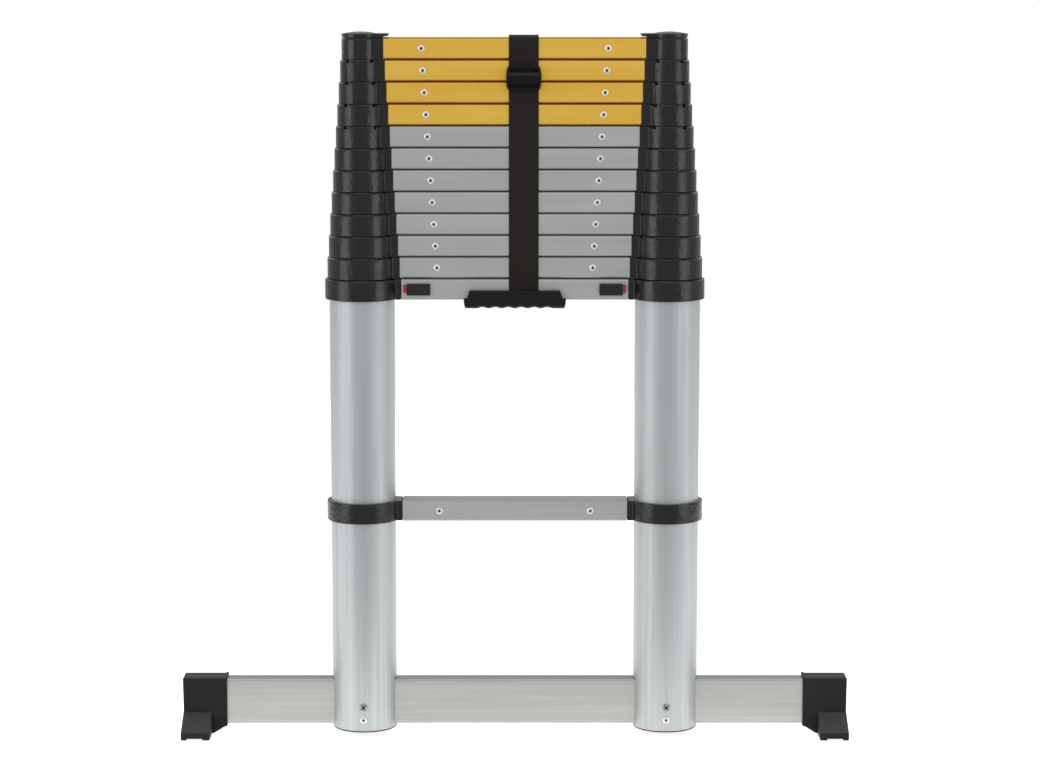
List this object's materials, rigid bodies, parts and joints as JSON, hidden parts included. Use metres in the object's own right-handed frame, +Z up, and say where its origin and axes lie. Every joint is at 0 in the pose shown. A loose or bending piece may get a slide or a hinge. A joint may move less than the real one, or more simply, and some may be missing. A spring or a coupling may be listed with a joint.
{
  "type": "telescoping ladder",
  "caption": "Telescoping ladder stored closed: nested tube stiles with stacked rungs, a fixed base with a stabiliser bar and rubber feet, release slides, strap and carry handle.",
  "frame": {"origin": "on the floor under the middle of the ladder: the centre of the bounding box's bottom face", "axes": "+Z up, the way the sections slide; the climber stands at -Y; -X is the left stile"},
  "size_m": [0.872, 0.102, 0.917],
  "materials": {
    "anodised_tube": "satin anodised, drawn tube",
    "silver_rung": "satin anodised extrusion",
    "gold_rung": "satin gold anodised extrusion",
    "black_plastic": "fine moulded grain",
    "black_rubber": "matt moulded rubber",
    "webbing": "woven polyester webbing",
    "steel": "zinc plated"
  },
  "bodies": {
    "base": {"base_tube_left": "anodised_tube", "base_collar_left": "black_plastic", "mid_collar_left": "black_plastic", "foot_boot_left": "black_rubber", "tube_end_plug_left": "black_plastic", "bar_bolt_left": "steel", "lock_spring_left": "steel", "base_tube_right": "anodised_tube", "base_collar_right": "black_plastic", "mid_collar_right": "black_plastic", "foot_boot_right": "black_rubber", "tube_end_plug_right": "black_plastic", "bar_bolt_right": "steel", "lock_spring_right": "steel", "base_rung": "silver_rung", "mid_rung": "silver_rung", "stabiliser_bar": "silver_rung", "carry_handle": "black_plastic", "strap_lower": "webbing"},
    "lock_left": {"lock_pin_left": "steel", "release_button_left": "black_plastic"},
    "lock_right": {"lock_pin_right": "steel", "release_button_right": "black_plastic"},
    "section_1": {"stile_left_1": "anodised_tube", "stile_right_1": "anodised_tube", "rung_1": "silver_rung"},
    "section_2": {"stile_left_2": "anodised_tube", "stile_right_2": "anodised_tube", "rung_2": "silver_rung"},
    "section_3": {"stile_left_3": "anodised_tube", "stile_right_3": "anodised_tube", "rung_3": "silver_rung"},
    "section_4": {"stile_left_4": "anodised_tube", "stile_right_4": "anodised_tube", "rung_4": "silver_rung"},
    "section_5": {"stile_left_5": "anodised_tube", "stile_right_5": "anodised_tube", "rung_5": "silver_rung"},
    "section_6": {"stile_left_6": "anodised_tube", "stile_right_6": "anodised_tube", "rung_6": "silver_rung"},
    "section_7": {"stile_left_7": "anodised_tube", "stile_right_7": "anodised_tube", "rung_7": "silver_rung"},
    "section_8": {"stile_left_8": "anodised_tube", "stile_right_8": "anodised_tube", "rung_8": "gold_rung"},
    "section_9": {"stile_left_9": "anodised_tube", "stile_right_9": "anodised_tube", "rung_9": "gold_rung"},
    "section_10": {"stile_left_10": "anodised_tube", "stile_right_10": "anodised_tube", "rung_10": "gold_rung"},
    "section_11": {"stile_left_11": "anodised_tube", "stile_right_11": "anodised_tube", "rung_11": "gold_rung", "strap_upper": "webbing", "strap_buckle": "black_plastic", "top_cap_left": "black_plastic", "top_cap_right": "black_plastic"}
  },
  "joints": [
    {"name": "section_1_slide", "type": "slide", "parent": "base", "child": "section_1", "axis": [0, 0, 1], "range_m": [0, 0.262]},
    {"name": "section_2_slide", "type": "slide", "parent": "section_1", "child": "section_2", "axis": [0, 0, 1], "range_m": [0, 0.262]},
    {"name": "section_3_slide", "type": "slide", "parent": "section_2", "child": "section_3", "axis": [0, 0, 1], "range_m": [0, 0.262]},
    {"name": "section_4_slide", "type": "slide", "parent": "section_3", "child": "section_4", "axis": [0, 0, 1], "range_m": [0, 0.262]},
    {"name": "section_5_slide", "type": "slide", "parent": "section_4", "child": "section_5", "axis": [0, 0, 1], "range_m": [0, 0.262]},
    {"name": "section_6_slide", "type": "slide", "parent": "section_5", "child": "section_6", "axis": [0, 0, 1], "range_m": [0, 0.262]},
    {"name": "section_7_slide", "type": "slide", "parent": "section_6", "child": "section_7", "axis": [0, 0, 1], "range_m": [0, 0.262]},
    {"name": "section_8_slide", "type": "slide", "parent": "section_7", "child": "section_8", "axis": [0, 0, 1], "range_m": [0, 0.262]},
    {"name": "section_9_slide", "type": "slide", "parent": "section_8", "child": "section_9", "axis": [0, 0, 1], "range_m": [0, 0.262]},
    {"name": "section_10_slide", "type": "slide", "parent": "section_9", "child": "section_10", "axis": [0, 0, 1], "range_m": [0, 0.262]},
    {"name": "section_11_slide", "type": "slide", "parent": "section_10", "child": "section_11", "axis": [0, 0, 1], "range_m": [0, 0.262]},
    {"name": "lock_left_slide", "type": "slide", "parent": "base", "child": "lock_left", "axis": [1, 0, 0], "range_m": [0, 0.006], "stiffness_N_per_m": 400, "springref_m": -0.004, "deforming": ["lock_spring_left"]},
    {"name": "lock_right_slide", "type": "slide", "parent": "base", "child": "lock_right", "axis": [-1, 0, 0], "range_m": [0, 0.006], "stiffness_N_per_m": 400, "springref_m": -0.004, "deforming": ["lock_spring_right"]}
  ]
}
